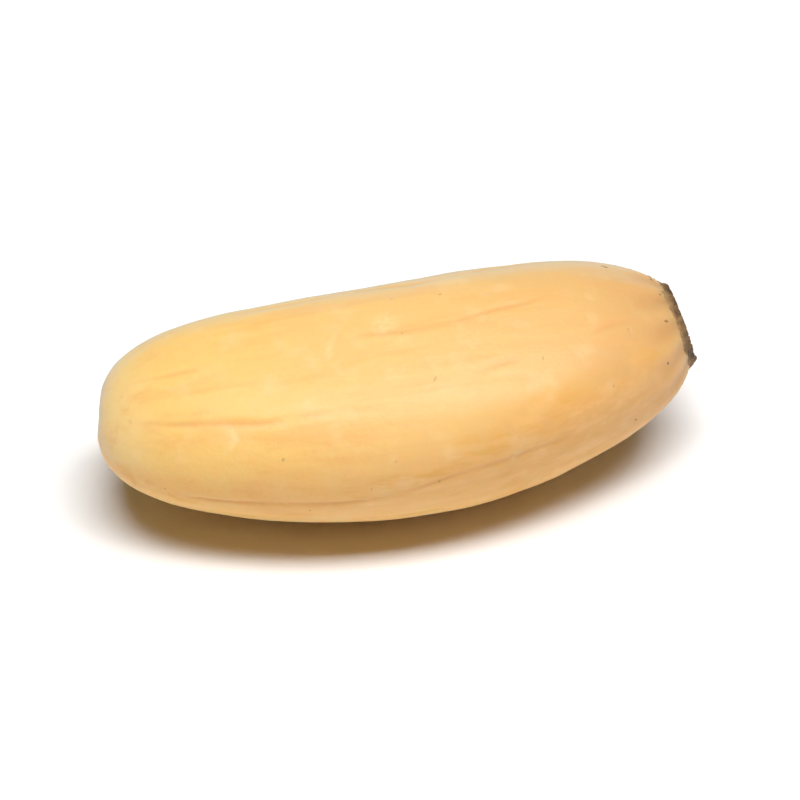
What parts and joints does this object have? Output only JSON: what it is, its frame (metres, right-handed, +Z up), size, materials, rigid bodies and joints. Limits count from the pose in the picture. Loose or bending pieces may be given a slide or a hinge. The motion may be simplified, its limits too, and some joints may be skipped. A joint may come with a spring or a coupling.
{
  "type": "shelled pine nut",
  "caption": "Shelled pine nut: a smooth, slightly bent ivory kernel with a blunt end and a small brown cap on its narrow end, lying on a small flat spot.",
  "frame": {"origin": "middle of the kernel's footprint, on the surface that it lies on", "axes": "+X from the blunt end to the capped end, +Z up, -Y towards the side that bulges"},
  "size_m": [0.0146, 0.0064, 0.0052],
  "materials": {
    "kernel": "satin"
  },
  "bodies": {
    "root": {"kernel": "kernel"}
  },
  "joints": []
}
